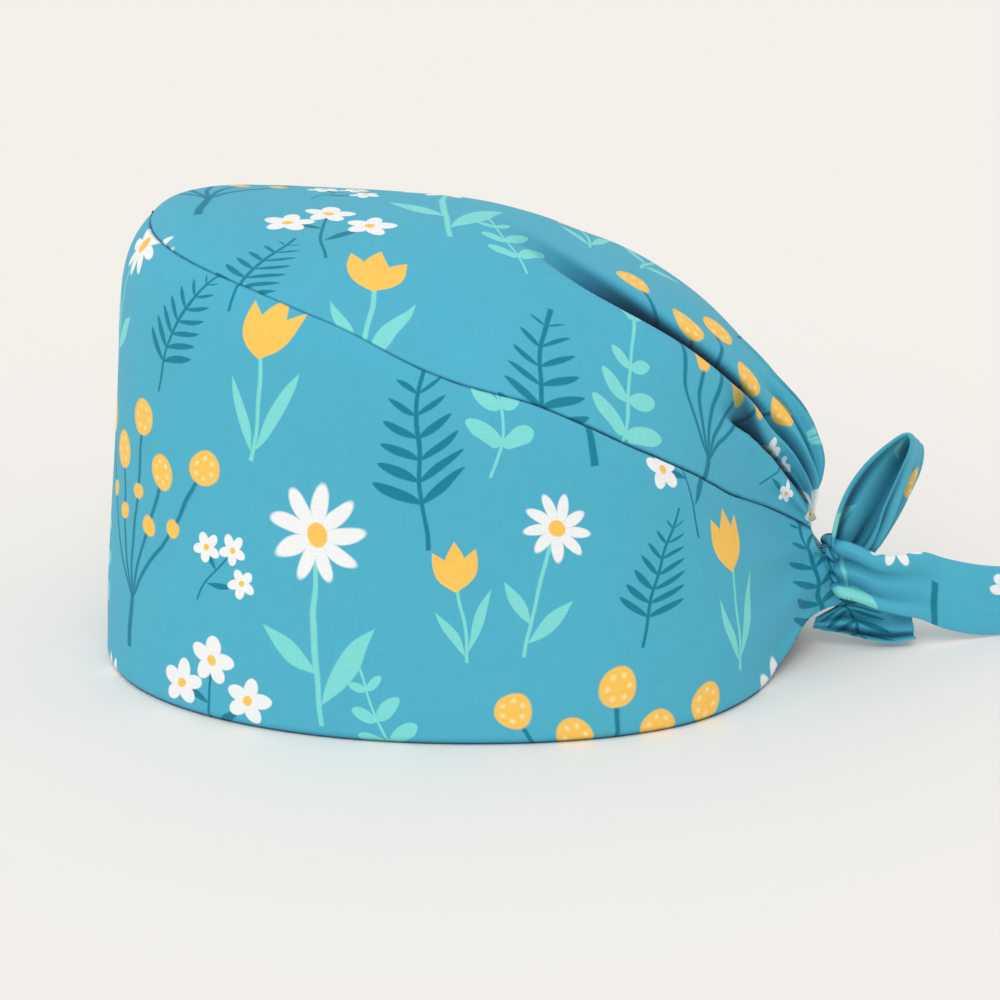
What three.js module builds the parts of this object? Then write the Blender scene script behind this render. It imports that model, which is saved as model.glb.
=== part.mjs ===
// A tie-back surgical scrub cap that stands open on a table, with its ties knotted behind it.
// Millimetres, +Z up. The forehead faces -X, the ties run back towards +X, and the hem stands on Z = 0.

import * as THREE from "three";
import { mergeVertices } from "three/addons/utils/BufferGeometryUtils.js";

// Cloth

const clothThickness = 1.6; // two layers of cotton poplin
const pieceGap = 0.3; // left between pieces that are sewn or knotted to each other

// The rim, where the head goes in

const rimLength = 230; // forehead to nape, outside
const rimWidth = 174; // ear to ear, outside
const rimSquareness = 2.15; // 2 is an ellipse, and more is squarer
const rimWidestBack = 8; // the widest place lies this far behind the middle

// The crown seam, which joins the side band to the crown

const frontHeight = 147; // from the hem up to the seam at the forehead
const frontLean = 19; // the seam stands this far inside the rim at the forehead
const backLean = 17; // and this far inside it at the nape
const sideLean = 7; // and this far inside it over each ear
const seamWidestBack = 6; // its widest place lies this far behind its own middle
const cornerShare = 0.5; // the share of the lean that lies in the rounded top edge
const cornerPower = 16; // how tight that rounded edge is

// The pinch at the nape, where the ties draw the two ends of the band together

const pinchTurn = 150; // degrees round from the forehead where the band starts to turn in
const hemReach = 13; // the hem's ends run this far past the rim
const hemRise = 14.5; // and end this high above the table
const hemEndApart = 8; // between the outsides of the two ends, at the hem
const endHeight = 29; // of each end of the band, from hem to seam
const endSlope = 10; // the top of each end lies this far in front of its foot
const endApart = 15; // between the outsides of the two ends, at the seam

// The crown

const crownSquareness = 2.4; // of its sections from side to side
const foldDepth = 9; // of the deepest crease in the crown
const ruffleDepth = 2.6; // of the gathers along the back edge
const ruffleCount = 9;
const gatherSpread = 9; // how far the gathered edge bulges to each side

// The knot and the ties

const strapWidth = 25;
const strapThickness = 1.8; // a strap is a flat tube of the same cloth
const knotHeight = 23;
const knotDepth = 11; // front to back
const knotBreadth = 15; // side to side
const knotDrop = 2; // its middle lies this far below the middle of the band's ends
const knotBehind = 0.7; // and its front this far behind them
const knotTilt = 17; // degrees that the knot leans forward, along the ends of the band
const knotPleats = 7; // folds round the knot
const knotPleatDepth = 0.7;
const longTailLength = 106.9; // from the near side of the knot, past the edge of the view
const shortTailLength = 33;
const shortTailStart = 8; // its tip lies this far in front of the knot's middle
const strapPleatDepth = 1.1; // of the folds that the knot presses into each strap
const strapPleats = 2.5; // waves of them across a strap
const loopHeight = 45; // from inside the knot to the top of the bow's loop
const loopBreadth = 20; // across the open loop
const loopLean = 27; // degrees that the loop leans back
const loopRootForward = 1.3; // its axis starts this far in front of the knot's middle
const loopRootDeep = 4.3; // and this far below the knot's top

// How finely the shapes are divided

const turnSteps = 36; // from forehead to nape
const bandSteps = 7; // from hem to seam
const crownSteps = 54; // from side to side
const strapSteps = 6; // across a strap

// Where the crown seam runs: turn is degrees round from the forehead, height a share of frontHeight.
const seamRows = [
  { turn: 0, height: 1.0 },
  { turn: 20, height: 0.996 },
  { turn: 35, height: 0.981 },
  { turn: 50, height: 0.956 },
  { turn: 60, height: 0.927 },
  { turn: 70, height: 0.89 },
  { turn: 80, height: 0.832 },
  { turn: 90, height: 0.78 },
  { turn: 100, height: 0.742 },
  { turn: 110, height: 0.688 },
  { turn: 120, height: 0.63 },
  { turn: 135, height: 0.55 },
  { turn: 150, height: 0.468 },
  { turn: 165, height: 0.382 },
  { turn: 180, height: 0.299 },
];

// The crown's middle line, over the section whose feet stand on the seam at that turn:
// back is a share of half the rim's length, from its middle, and height a share of frontHeight.
const ridgeRows = [
  { turn: 0, back: -0.839, height: 1.0 },
  { turn: 8, back: -0.815, height: 1.017 },
  { turn: 20, back: -0.76, height: 1.034 },
  { turn: 35, back: -0.655, height: 1.04 },
  { turn: 50, back: -0.503, height: 1.031 },
  { turn: 65, back: -0.315, height: 1.026 },
  { turn: 80, back: -0.095, height: 1.023 },
  { turn: 90, back: 0.07, height: 1.012 },
  { turn: 100, back: 0.232, height: 0.982 },
  { turn: 110, back: 0.371, height: 0.944 },
  { turn: 120, back: 0.497, height: 0.903 },
  { turn: 132, back: 0.63, height: 0.842 },
  { turn: 144, back: 0.752, height: 0.771 },
  { turn: 155, back: 0.867, height: 0.686 },
  { turn: 165, back: 0.97, height: 0.6 },
  { turn: 172, back: 1.038, height: 0.498 },
  { turn: 177, back: 1.05, height: 0.416 },
  { turn: 180, back: 1.03, height: 0.355 },
];

// Folds that the ties draw into the crown. A place is a share of the way from the middle line (0) down
// to the seam (1), and is negative on the near side. A fold starts at one place and turn, swings towards
// its back place, and is at its full depth from the turn named full.
// depth is a share of foldDepth, width a share of the way down, lap how far its lower lip slides up.
const foldRows = [
  { place: -0.15, backPlace: -0.635, start: 96, full: 138, depth: 1.0, width: 0.17, lap: 0.07 },
  { place: -0.73, backPlace: -0.8, start: 147, full: 160, depth: 0.5, width: 0.09, lap: 0.035 },
  { place: 0.2, backPlace: 0.6, start: 100, full: 144, depth: 0.85, width: 0.18, lap: 0.06 },
  { place: 0.68, backPlace: 0.8, start: 150, full: 164, depth: 0.4, width: 0.09, lap: 0.03 },
  { place: 0.02, backPlace: 0.02, start: 146, full: 170, depth: 0.35, width: 0.16, lap: 0.0 },
];
const foldSwing = 17; // degrees of turn in which a fold swings most of the way to its back place
const valleyShare = 0.8; // how far a fold's valley lies in, as a share of its depth
const lipShare = 0.34; // how far its lower lip stands out
const swellShare = 0.25; // how far the cloth above it swells out

// The long tail, which leaves the knot on its near side and stands on its edge. back and away are
// shares of its length, from the knot's middle; lift is how high its lower edge is and width its own
// width, as shares of strapWidth; lean is how far its upper edge leans towards the near side, in
// degrees; pleat is a share of strapPleatDepth.
const longTailRows = [
  { back: 0.0, away: -0.084, lift: 0.79, width: 0.8, lean: 0, pleat: 0.8 },
  { back: 0.05, away: -0.084, lift: 0.73, width: 0.78, lean: -2, pleat: 0.7 },
  { back: 0.11, away: -0.078, lift: 0.62, width: 0.76, lean: -4, pleat: 0.5 },
  { back: 0.18, away: -0.058, lift: 0.51, width: 0.82, lean: -6, pleat: 0.3 },
  { back: 0.25, away: -0.03, lift: 0.4, width: 0.93, lean: -6, pleat: 0.15 },
  { back: 0.34, away: 0.005, lift: 0.2, width: 0.98, lean: -3, pleat: 0.0 },
  { back: 0.45, away: 0.045, lift: 0.06, width: 1.0, lean: 1, pleat: 0.0 },
  { back: 0.6, away: 0.09, lift: 0.0, width: 1.0, lean: 5, pleat: 0.0 },
  { back: 0.8, away: 0.11, lift: 0.0, width: 1.0, lean: 4, pleat: 0.0 },
  { back: 1.0, away: 0.08, lift: 0.0, width: 1.0, lean: -3, pleat: 0.0 },
];

// The short tail, folded under the knot: along is a share of its length back from its tip, near how
// far it lies to the near side and rise its height, as shares of strapWidth; turned is how far its
// width is turned round from straight across, and dip how far its near edge dips, in degrees.
const shortTailRows = [
  { along: 0.0, near: 0.1, rise: 0.31, width: 0.16, turned: 30, dip: 50, pleat: 0.2 },
  { along: 0.12, near: 0.12, rise: 0.34, width: 0.27, turned: 24, dip: 54, pleat: 0.4 },
  { along: 0.32, near: 0.12, rise: 0.39, width: 0.44, turned: 14, dip: 58, pleat: 0.8 },
  { along: 0.55, near: 0.1, rise: 0.33, width: 0.5, turned: 4, dip: 58, pleat: 1.0 },
  { along: 0.78, near: 0.06, rise: 0.27, width: 0.48, turned: -6, dip: 60, pleat: 1.0 },
  { along: 1.0, near: 0.0, rise: 0.24, width: 0.36, turned: -18, dip: 60, pleat: 0.8 },
];

// The bow's loop, from one end round to the other: rise is a share of loopHeight up its axis and aside a
// share of loopBreadth to the back of that axis. twist is how far its width is turned from straight
// across, in degrees: the near side of the cap shows the first side's inner face, broadly, and a
// narrower stretch of the second side's outer face.
const loopRows = [
  { rise: 0.09, aside: -0.11, width: 0.56, twist: 32, pleat: 0.9 },
  { rise: 0.26, aside: -0.08, width: 0.84, twist: 42, pleat: 0.7 },
  { rise: 0.48, aside: -0.05, width: 1.0, twist: 46, pleat: 0.3 },
  { rise: 0.71, aside: 0.0, width: 1.0, twist: 42, pleat: 0.1 },
  { rise: 0.9, aside: 0.06, width: 1.0, twist: 35, pleat: 0.0 },
  { rise: 1.0, aside: 0.2, width: 1.0, twist: 30, pleat: 0.0 },
  { rise: 0.93, aside: 0.35, width: 1.0, twist: 26, pleat: 0.0 },
  { rise: 0.73, aside: 0.42, width: 1.0, twist: 25, pleat: 0.1 },
  { rise: 0.47, aside: 0.44, width: 0.96, twist: 23, pleat: 0.3 },
  { rise: 0.3, aside: 0.45, width: 0.74, twist: 18, pleat: 0.6 },
  { rise: 0.15, aside: 0.46, width: 0.48, twist: 10, pleat: 0.9 },
  { rise: 0.02, aside: 0.44, width: 0.4, twist: 5, pleat: 1.0 },
];

const degrees = Math.PI / 180;
const { clamp, lerp, smoothstep } = THREE.MathUtils;
const vector = (x, y, z) => new THREE.Vector3(x, y, z);

// A smooth function of one column of a table, through its rows.
function curveThrough(rows, at, value) {
  const slope = rows.map((row, i) => {
    const before = rows[Math.max(i - 1, 0)];
    const after = rows[Math.min(i + 1, rows.length - 1)];
    return (after[value] - before[value]) / (after[at] - before[at]);
  });
  return (where) => {
    let i = 0;
    while (i < rows.length - 2 && where > rows[i + 1][at]) i += 1;
    const span = rows[i + 1][at] - rows[i][at];
    const t = (where - rows[i][at]) / span;
    const rise = t * t * (3 - 2 * t);
    return (
      rows[i][value] * (1 - rise) +
      rows[i + 1][value] * rise +
      span * slope[i] * t * (1 - t) * (1 - t) -
      span * slope[i + 1] * t * t * (1 - t)
    );
  };
}

const seamHeight = curveThrough(seamRows, "turn", "height");
const ridgeBack = curveThrough(ridgeRows, "turn", "back");
const ridgeHeight = curveThrough(ridgeRows, "turn", "height");

// The outline of the rim or the seam, seen from above, before the nape is pinched in.
function outline(turn, { middle, halfLength, halfWidth, widestBack }) {
  const power = (v) => Math.sign(v) * Math.abs(v) ** (2 / rimSquareness);
  const along = Math.cos(turn * degrees);
  const across = Math.sin(turn * degrees);
  return new THREE.Vector2(
    middle - halfLength * power(along) + widestBack * across * across,
    halfWidth * power(across),
  );
}

// The same outline with its last stretch drawn in to an end at the nape.
function pinched(turn, shape) {
  const round = Math.abs(turn);
  const side = turn < 0 ? -1 : 1;
  if (round <= pinchTurn) {
    const place = outline(round, shape);
    return new THREE.Vector2(place.x, place.y * side);
  }
  const start = outline(pinchTurn, shape);
  const tangent = start.clone().sub(outline(pinchTurn - 0.1, shape)).normalize();
  const reach = start.distanceTo(shape.end);
  const curve = new THREE.CubicBezierCurve(
    start,
    start.clone().addScaledVector(tangent, reach * shape.swing),
    new THREE.Vector2(shape.end.x - reach * shape.straight, shape.end.y + reach * shape.straight * 0.15),
    shape.end,
  );
  const place = curve.getPoint((round - pinchTurn) / (180 - pinchTurn));
  return new THREE.Vector2(place.x, place.y * side);
}

const hemEndBack = rimLength / 2 + hemReach;
const rim = {
  middle: 0,
  halfLength: rimLength / 2,
  halfWidth: rimWidth / 2,
  widestBack: rimWidestBack,
  end: new THREE.Vector2(hemEndBack, hemEndApart / 2),
  swing: 0.5,
  straight: 0.3,
};
const seam = {
  middle: (frontLean - backLean) / 2,
  halfLength: (rimLength - frontLean - backLean) / 2,
  halfWidth: rimWidth / 2 - sideLean,
  widestBack: seamWidestBack,
  end: new THREE.Vector2(hemEndBack - endSlope, endApart / 2),
  swing: 0.45,
  straight: 0.2,
};

// The outside of the side band: turn goes round from the forehead, negative on the near side, and up
// goes from the hem (0) to the seam (1).
function bandPoint(turn, up) {
  const round = Math.abs(turn);
  const corner = cornerShare * (1 - smoothstep(round, 100, pinchTurn));
  const lean = (1 - corner) * up + corner * up ** cornerPower;
  const low = pinched(turn, rim);
  const high = pinched(turn, seam);
  const hem = hemRise * smoothstep(round, pinchTurn, 180) ** 1.3;
  const endTop = hemRise + endHeight;
  const top = frontHeight * seamHeight(round) + (endTop - frontHeight * seamHeight(180)) * smoothstep(round, 120, 180);
  const place = low.lerp(high, lean);
  return vector(place.x, place.y, lerp(hem, top, up));
}

// One section of the smooth crown, from its foot on the near seam (-1) over the middle line (0) to the
// far one (1).
function domePoint(turn, place) {
  const down = Math.min(Math.abs(place), 1);
  const foot = bandPoint(place < 0 ? -turn : turn, 1);
  if (turn === 0) return foot;
  const back = (ridgeBack(turn) * rimLength) / 2;
  const top = frontHeight * ridgeHeight(turn);
  const spread = gatherSpread * smoothstep(turn, 158, 180) * Math.sin(Math.PI * down);
  return vector(
    lerp(back, foot.x, down * down),
    foot.y * down + Math.sign(place) * spread,
    lerp(top, foot.z, down ** lerp(crownSquareness, 2, smoothstep(turn, 140, 180))),
  );
}

function normalOf(surface, turn, place) {
  const step = 0.01;
  const back = Math.min(turn + 1, 180);
  const front = Math.max(turn - 1, 0.5);
  const along = surface(back, place).sub(surface(Math.min(front, back - 1), place));
  const right = Math.min(place + step, 1);
  const across = surface(turn, right).sub(surface(turn, right - 2 * step));
  return along.cross(across).normalize();
}

// The crown's cloth, with its folds and the gathers of its back edge.
function crownPoint(turn, place) {
  let slide = 0;
  let out = 0;
  for (const fold of foldRows) {
    if (turn <= fold.start) continue;
    const grown = smoothstep(turn, fold.start, fold.full);
    const line = lerp(fold.backPlace, fold.place, Math.exp((fold.start - turn) / foldSwing));
    const below = ((place - line) * Math.sign(line)) / fold.width; // of the crease
    const bell = (middle, width) => Math.exp(-(((below - middle) / width) ** 2));
    const shape = lipShare * bell(0.42, 0.3) - valleyShare * bell(-0.05, 0.33) + swellShare * bell(-0.95, 0.5);
    out += foldDepth * fold.depth * grown * shape;
    slide -= Math.sign(line) * fold.lap * grown * bell(0.25, 0.32);
  }
  const gathered = smoothstep(turn, 156, 177);
  const wave = Math.cos(Math.PI * ruffleCount * place);
  const held = 1 - Math.abs(place) ** 8; // the gathers die out at the seam
  out += ruffleDepth * gathered * wave * held;
  out *= held;
  const moved = clamp(place + slide * held, -1, 1);
  return domePoint(turn, moved).addScaledVector(normalOf(domePoint, turn, moved), out);
}

// Turns from forehead to nape, closer together towards the gathers.
const turns = Array.from({ length: turnSteps + 1 }, (_, i) => 180 * Math.sin((i / turnSteps) * 90 * degrees) ** 1.1);
turns[turnSteps] = 180;

// The way across the seam and the way out of it, which both its pieces share.
function seamFrame(turn) {
  const side = turn < 0 ? -1 : 1;
  const round = Math.abs(turn);
  const across = crownPoint(round, side * 0.97).sub(bandPoint(turn, 0.97)).normalize();
  const step = Math.min(1, 180 - round) || 1;
  const ahead = bandPoint(side * Math.min(round + step, 180), 1);
  const behind = bandPoint(round - step < 0 ? -side * (step - round) : side * (round - step), 1);
  const along = ahead.sub(behind).multiplyScalar(side).normalize();
  return { across, out: across.clone().cross(along).normalize() };
}

// A closed piece of cloth from its outer points and its inner points, both as rows of columns.
function clothGeometry(outer, inner) {
  const rows = outer.length;
  const columns = outer[0].length;
  const positions = [...outer.flat(), ...inner.flat()].flatMap((p) => [p.x, p.y, p.z]);
  const under = rows * columns;
  const faces = [];
  const quad = (a, b, c, d) => faces.push(a, b, c, a, c, d);
  const at = (row, column) => row * columns + column;
  for (let r = 0; r + 1 < rows; r += 1) {
    for (let c = 0; c + 1 < columns; c += 1) {
      quad(at(r, c), at(r + 1, c), at(r + 1, c + 1), at(r, c + 1));
      quad(under + at(r, c), under + at(r, c + 1), under + at(r + 1, c + 1), under + at(r + 1, c));
    }
  }
  const border = [];
  for (let c = 0; c + 1 < columns; c += 1) border.push(at(0, c));
  for (let r = 0; r + 1 < rows; r += 1) border.push(at(r, columns - 1));
  for (let c = columns - 1; c > 0; c -= 1) border.push(at(rows - 1, c));
  for (let r = rows - 1; r > 0; r -= 1) border.push(at(r, 0));
  border.forEach((a, i) => {
    const b = border[(i + 1) % border.length];
    quad(a, b, under + b, under + a);
  });
  return closed(positions, faces);
}

// A geometry whose shared points are merged and whose collapsed faces are gone.
function closed(positions, faces) {
  const geometry = new THREE.BufferGeometry();
  geometry.setAttribute("position", new THREE.Float32BufferAttribute(positions, 3));
  geometry.setIndex(faces);
  const merged = mergeVertices(geometry, 1e-3);
  const index = merged.index.array;
  const kept = [];
  for (let i = 0; i < index.length; i += 3) {
    const [a, b, c] = [index[i], index[i + 1], index[i + 2]];
    if (a !== b && b !== c && c !== a) kept.push(a, b, c);
  }
  merged.setIndex(kept);
  return merged;
}

// The side band, one strip of cloth from the knot round the forehead and back to the knot.

function bandGeometry() {
  const round = [...turns.slice(1).map((turn) => -turn).reverse(), ...turns];
  const ups = Array.from({ length: bandSteps + 1 }, (_, i) => 1 - (1 - i / bandSteps) ** 1.8);
  const outer = [];
  const inner = [];
  for (const up of ups) {
    const outerRow = [];
    const innerRow = [];
    for (const turn of round) {
      const place = bandPoint(turn, up);
      const frame = seamFrame(turn);
      const side = Math.min(up + 0.02, 1);
      const rise = bandPoint(turn, side).sub(bandPoint(turn, side - 0.04)).normalize();
      const along = frame.out.clone().cross(frame.across);
      let out = rise.cross(along).normalize();
      if (up === 1) {
        out = frame.out;
        place.addScaledVector(frame.across, -pieceGap / 2);
      }
      if (up === 0) out = out.setZ(0).normalize();
      outerRow.push(place);
      innerRow.push(place.clone().addScaledVector(out, -clothThickness));
    }
    outer.push(outerRow);
    inner.push(innerRow);
  }
  return clothGeometry(outer, inner);
}

function crownGeometry() {
  const places = Array.from({ length: crownSteps + 1 }, (_, i) => (2 * i) / crownSteps - 1);
  const outer = [];
  const inner = [];
  for (const turn of turns) {
    const outerRow = [];
    const innerRow = [];
    for (const place of places) {
      const edge = Math.abs(place) === 1 || turn === 0;
      const point = crownPoint(turn, place);
      let out = normalOf(crownPoint, turn, place);
      if (edge) {
        const frame = seamFrame(place < 0 ? -turn : turn);
        out = frame.out;
        point.addScaledVector(frame.across, pieceGap / 2);
      }
      outerRow.push(point);
      innerRow.push(point.clone().addScaledVector(out, -clothThickness));
    }
    outer.push(outerRow);
    inner.push(innerRow);
  }
  return clothGeometry(outer, inner);
}

// A strap through its stations, each with its middle, the way across it, its width and its pleats.
function strapGeometry(stations) {
  const outer = [];
  const inner = [];
  stations.forEach(({ middle, across, width, pleat }, i) => {
    const ahead = stations[Math.min(i + 1, stations.length - 1)].middle;
    const behind = stations[Math.max(i - 1, 0)].middle;
    const out = ahead.clone().sub(behind).cross(across).normalize();
    const outerRow = [];
    const innerRow = [];
    for (let k = 0; k <= strapSteps; k += 1) {
      const share = k / strapSteps - 0.5;
      const fold = strapPleatDepth * pleat * Math.cos(2 * Math.PI * strapPleats * share);
      const point = middle.clone().addScaledVector(across, share * width).addScaledVector(out, fold);
      outerRow.push(point.clone().addScaledVector(out, strapThickness / 2));
      innerRow.push(point.addScaledVector(out, -strapThickness / 2));
    }
    outer.push(outerRow);
    inner.push(innerRow);
  });
  return clothGeometry(outer, inner);
}

const knotMiddle = vector(
  hemEndBack - endSlope / 2 + knotBehind + knotDepth / 2,
  0,
  hemRise + endHeight / 2 - knotDrop,
);

// The knot: a band of pleated strap wound round the others.
function knotGeometry() {
  const rings = 12;
  const spokes = 40;
  const positions = [];
  const faces = [];
  for (let r = 0; r <= rings; r += 1) {
    const polar = (Math.PI * r) / rings;
    const swell = Math.sin(polar) ** 0.45;
    const height = (-Math.cos(polar) * knotHeight) / 2;
    for (let k = 0; k < spokes; k += 1) {
      const angle = (2 * Math.PI * k) / spokes;
      const pleat = knotPleatDepth * Math.cos(knotPleats * Math.PI * (1 - Math.cos(polar)) + Math.sin(angle)) * swell;
      const power = (v) => Math.sign(v) * Math.abs(v) ** 0.85;
      const lean = -height * Math.tan(knotTilt * degrees);
      positions.push(
        knotMiddle.x + lean + (knotDepth / 2 - knotPleatDepth + pleat) * swell * power(Math.cos(angle)),
        knotMiddle.y + (knotBreadth / 2 - knotPleatDepth + pleat) * swell * power(Math.sin(angle)),
        knotMiddle.z + height,
      );
      if (r === rings) continue;
      const next = (k + 1) % spokes;
      const [a, b] = [r * spokes + k, r * spokes + next];
      faces.push(a, b, b + spokes, a, b + spokes, a + spokes);
    }
  }
  return closed(positions, faces);
}

function longTailStations() {
  return longTailRows.map((row) => {
    const across = vector(0, -Math.sin(row.lean * degrees), Math.cos(row.lean * degrees));
    const width = row.width * strapWidth;
    const thickness = (strapThickness / 2) * Math.abs(across.y);
    const foot = vector(
      knotMiddle.x + row.back * longTailLength,
      row.away * longTailLength,
      row.lift * strapWidth + thickness,
    );
    return { middle: foot.addScaledVector(across, width / 2), across, width, pleat: row.pleat };
  });
}

function shortTailStations() {
  const start = vector(knotMiddle.x - shortTailStart, 0, 0);
  return shortTailRows.map((row) => {
    const across = vector(
      Math.sin(row.turned * degrees) * Math.cos(row.dip * degrees),
      Math.cos(row.turned * degrees) * Math.cos(row.dip * degrees),
      Math.sin(row.dip * degrees),
    );
    const middle = start
      .clone()
      .add(vector(row.along * shortTailLength, -row.near * strapWidth, row.rise * strapWidth));
    return { middle, across, width: row.width * strapWidth, pleat: row.pleat };
  });
}

function loopStations() {
  const axis = vector(Math.sin(loopLean * degrees), 0, Math.cos(loopLean * degrees));
  const aside = vector(axis.z, 0, -axis.x);
  const start = knotMiddle.clone().add(vector(-loopRootForward, 0, knotHeight / 2 - loopRootDeep));
  return loopRows.map((row) => ({
    middle: start
      .clone()
      .addScaledVector(axis, row.rise * loopHeight)
      .addScaledVector(aside, row.aside * loopBreadth),
    across: aside
      .clone()
      .multiplyScalar(Math.sin(row.twist * degrees))
      .add(vector(0, Math.cos(row.twist * degrees), 0)),
    width: row.width * strapWidth,
    pleat: row.pleat,
  }));
}

const cap = new THREE.Group();
const cloth = new THREE.MeshStandardMaterial({ color: 0x59b2cb, roughness: 0.85, metalness: 0 });

function add(name, geometry, material = cloth) {
  const mesh = new THREE.Mesh(geometry, material);
  mesh.name = name;
  cap.add(mesh);
}

add("side_band", bandGeometry());
add("crown", crownGeometry());
add("tie_knot", knotGeometry());
add("bow_loop", strapGeometry(loopStations()));
add("long_tail", strapGeometry(longTailStations()));
add("short_tail", strapGeometry(shortTailStations()));

const box = new THREE.Box3().setFromObject(cap);
const middle = box.getCenter(vector(0, 0, 0));
cap.position.set(-middle.x, -middle.y, -box.min.z);

export default cap;
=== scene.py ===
# %% [markdown]
# A tie-back scrub cap stands open on a pale table, with its ties knotted behind it in half a bow.
# The solids of the cap are already at their real size, and this script lays real cloth over them.
# Each piece of cloth is a grid of points: rows and columns that follow the way the cloth was cut and
# sewn, so that folds, gathers and the printed pattern can all be worked out from row and column.

# %% Load the solids and note their box
import math

import bmesh
import bpy
import numpy as np
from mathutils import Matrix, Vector
from mathutils.kdtree import KDTree


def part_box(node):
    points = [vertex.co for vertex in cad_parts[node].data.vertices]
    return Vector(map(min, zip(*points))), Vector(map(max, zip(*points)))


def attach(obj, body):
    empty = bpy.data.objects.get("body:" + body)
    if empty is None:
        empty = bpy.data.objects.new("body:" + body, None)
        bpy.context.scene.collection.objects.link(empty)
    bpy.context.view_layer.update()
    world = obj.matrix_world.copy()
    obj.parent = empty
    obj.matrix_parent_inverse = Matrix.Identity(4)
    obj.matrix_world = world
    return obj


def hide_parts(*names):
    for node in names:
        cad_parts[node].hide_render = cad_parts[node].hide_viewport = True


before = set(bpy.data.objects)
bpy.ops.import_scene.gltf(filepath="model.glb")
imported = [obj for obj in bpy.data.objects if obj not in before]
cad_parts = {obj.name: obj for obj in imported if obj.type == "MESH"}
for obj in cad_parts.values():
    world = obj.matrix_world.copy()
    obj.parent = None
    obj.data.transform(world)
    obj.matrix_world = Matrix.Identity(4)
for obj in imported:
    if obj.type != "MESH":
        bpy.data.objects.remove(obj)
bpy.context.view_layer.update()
print("solids:", ", ".join(sorted(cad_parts)))

# %% [markdown]
# Every length is in metres. A cap is made round a head, so the few sizes that drive it are the rim's
# length and width, the height at the forehead, and how far the top leans in. The front edge of the
# band's solid says where the cap stands in the shared frame, so the cloth lands on its solid.

# %% The sizes that drive the cap
MM = 0.001
band_low, _ = (Vector(corner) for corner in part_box("side_band"))

RIM_LENGTH = 230 * MM
RIM_WIDTH = 174 * MM
RIM_SQUARENESS = 2.15
RIM_WIDEST_BACK = 8 * MM
FRONT_HEIGHT = 147 * MM
FRONT_LEAN = 19 * MM
BACK_LEAN = 17 * MM
SIDE_LEAN = 7 * MM
SEAM_WIDEST_BACK = 6 * MM
CORNER_SHARE = 0.5
CORNER_POWER = 16
PINCH_TURN = 150.0
PINCH_PACE = 0.64
HEM_RISE = 14.5 * MM
END_HEIGHT = 29 * MM
HEM_END = (RIM_LENGTH / 2 + 13 * MM, 4 * MM)
SEAM_END = (HEM_END[0] - 10 * MM, 7.5 * MM)
CROWN_SQUARENESS = 2.4
GATHER_SPREAD = 6 * MM
RUFFLE_COUNT = 9
RUFFLE_DEPTH = 2.6 * MM
FOLD_DEPTH = 9 * MM
FOLD_SWING = 17.0
FOLD_FADING = 14.0
FOLD_FADED = 0.7
SMALL_RUFFLE = 0.7
RUFFLES_INWARD = 0.8
HEM_ROLL = 1.8 * MM
TURNED_UNDER = 3 * MM
HOLLOW_DEPTH = 0.45 * MM
PULLED_FOLD = 1.1 * MM
CLOTH_THICKNESS = 1.1 * MM
KNOT_GAP = 3.2 * MM

cap_middle = band_low.x + RIM_LENGTH / 2
print(f"the middle of the rim is at x = {cap_middle:.4f} m")

# %% [markdown]
# Three short tables hold what was read off the real cap: how high the crown seam runs on its way
# round, the crown's middle line from forehead to nape, and the folds that the ties draw into it.
# turn is in degrees round from the forehead. Heights are shares of the forehead's height, and back is
# a share of half the rim's length.

# %% Tables
def table(columns, rows):
    """The columns of a short table, by name."""
    return dict(zip(columns.split(), np.array(rows, float).T))


def named_rows(columns, rows):
    """The rows of a short table, each with its values by name."""
    return [dict(zip(columns.split(), row)) for row in rows]


SEAM_ROWS = table("turn height", [
    (0, 1.0), (20, 0.996), (35, 0.981), (50, 0.956), (60, 0.927),
    (70, 0.89), (80, 0.832), (90, 0.78), (100, 0.742), (110, 0.688),
    (120, 0.63), (135, 0.55), (150, 0.468), (165, 0.392), (180, 0.299),
])
RIDGE_ROWS = table("turn back height", [
    (0, -0.839, 1.0), (8, -0.815, 1.017), (20, -0.76, 1.034), (35, -0.655, 1.04),
    (50, -0.503, 1.031), (65, -0.315, 1.026), (80, -0.095, 1.023), (90, 0.07, 1.012),
    (100, 0.232, 0.982), (110, 0.371, 0.944), (120, 0.497, 0.903), (132, 0.63, 0.842),
    (144, 0.752, 0.771), (155, 0.867, 0.686), (165, 0.97, 0.6), (172, 1.038, 0.498),
    (177, 1.05, 0.416), (180, 1.03, 0.355),
])
# In the folds' table, dark is how much shade is painted into each fold's crease.
FOLD_ROWS = named_rows("place back_place start full last depth width lap dark", [
    (-0.15, -0.635, 94, 136, 164, 1.0, 0.17, 0.1, 1.0),
    (-0.73, -0.8, 146, 157, 178, 0.7, 0.085, 0.055, 1.0),
    (0.2, 0.6, 100, 144, 170, 0.85, 0.18, 0.09, 0.15),
    (0.68, 0.8, 150, 164, 178, 0.4, 0.09, 0.04, 0.15),
    (-0.4, -0.42, 158, 168, 180, 0.24, 0.07, 0.03, 0.5),
    (0.02, 0.02, 146, 170, 190, 0.35, 0.16, 0.0, 0.3),
])


def smoothstep(x, low, high):
    """Rises from 0 to 1 between low and high, with no kink at either end."""
    t = np.clip((x - low) / (high - low), 0, 1)
    return t * t * (3 - 2 * t)


def blend(a, b, share):
    return a + (b - a) * share


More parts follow.
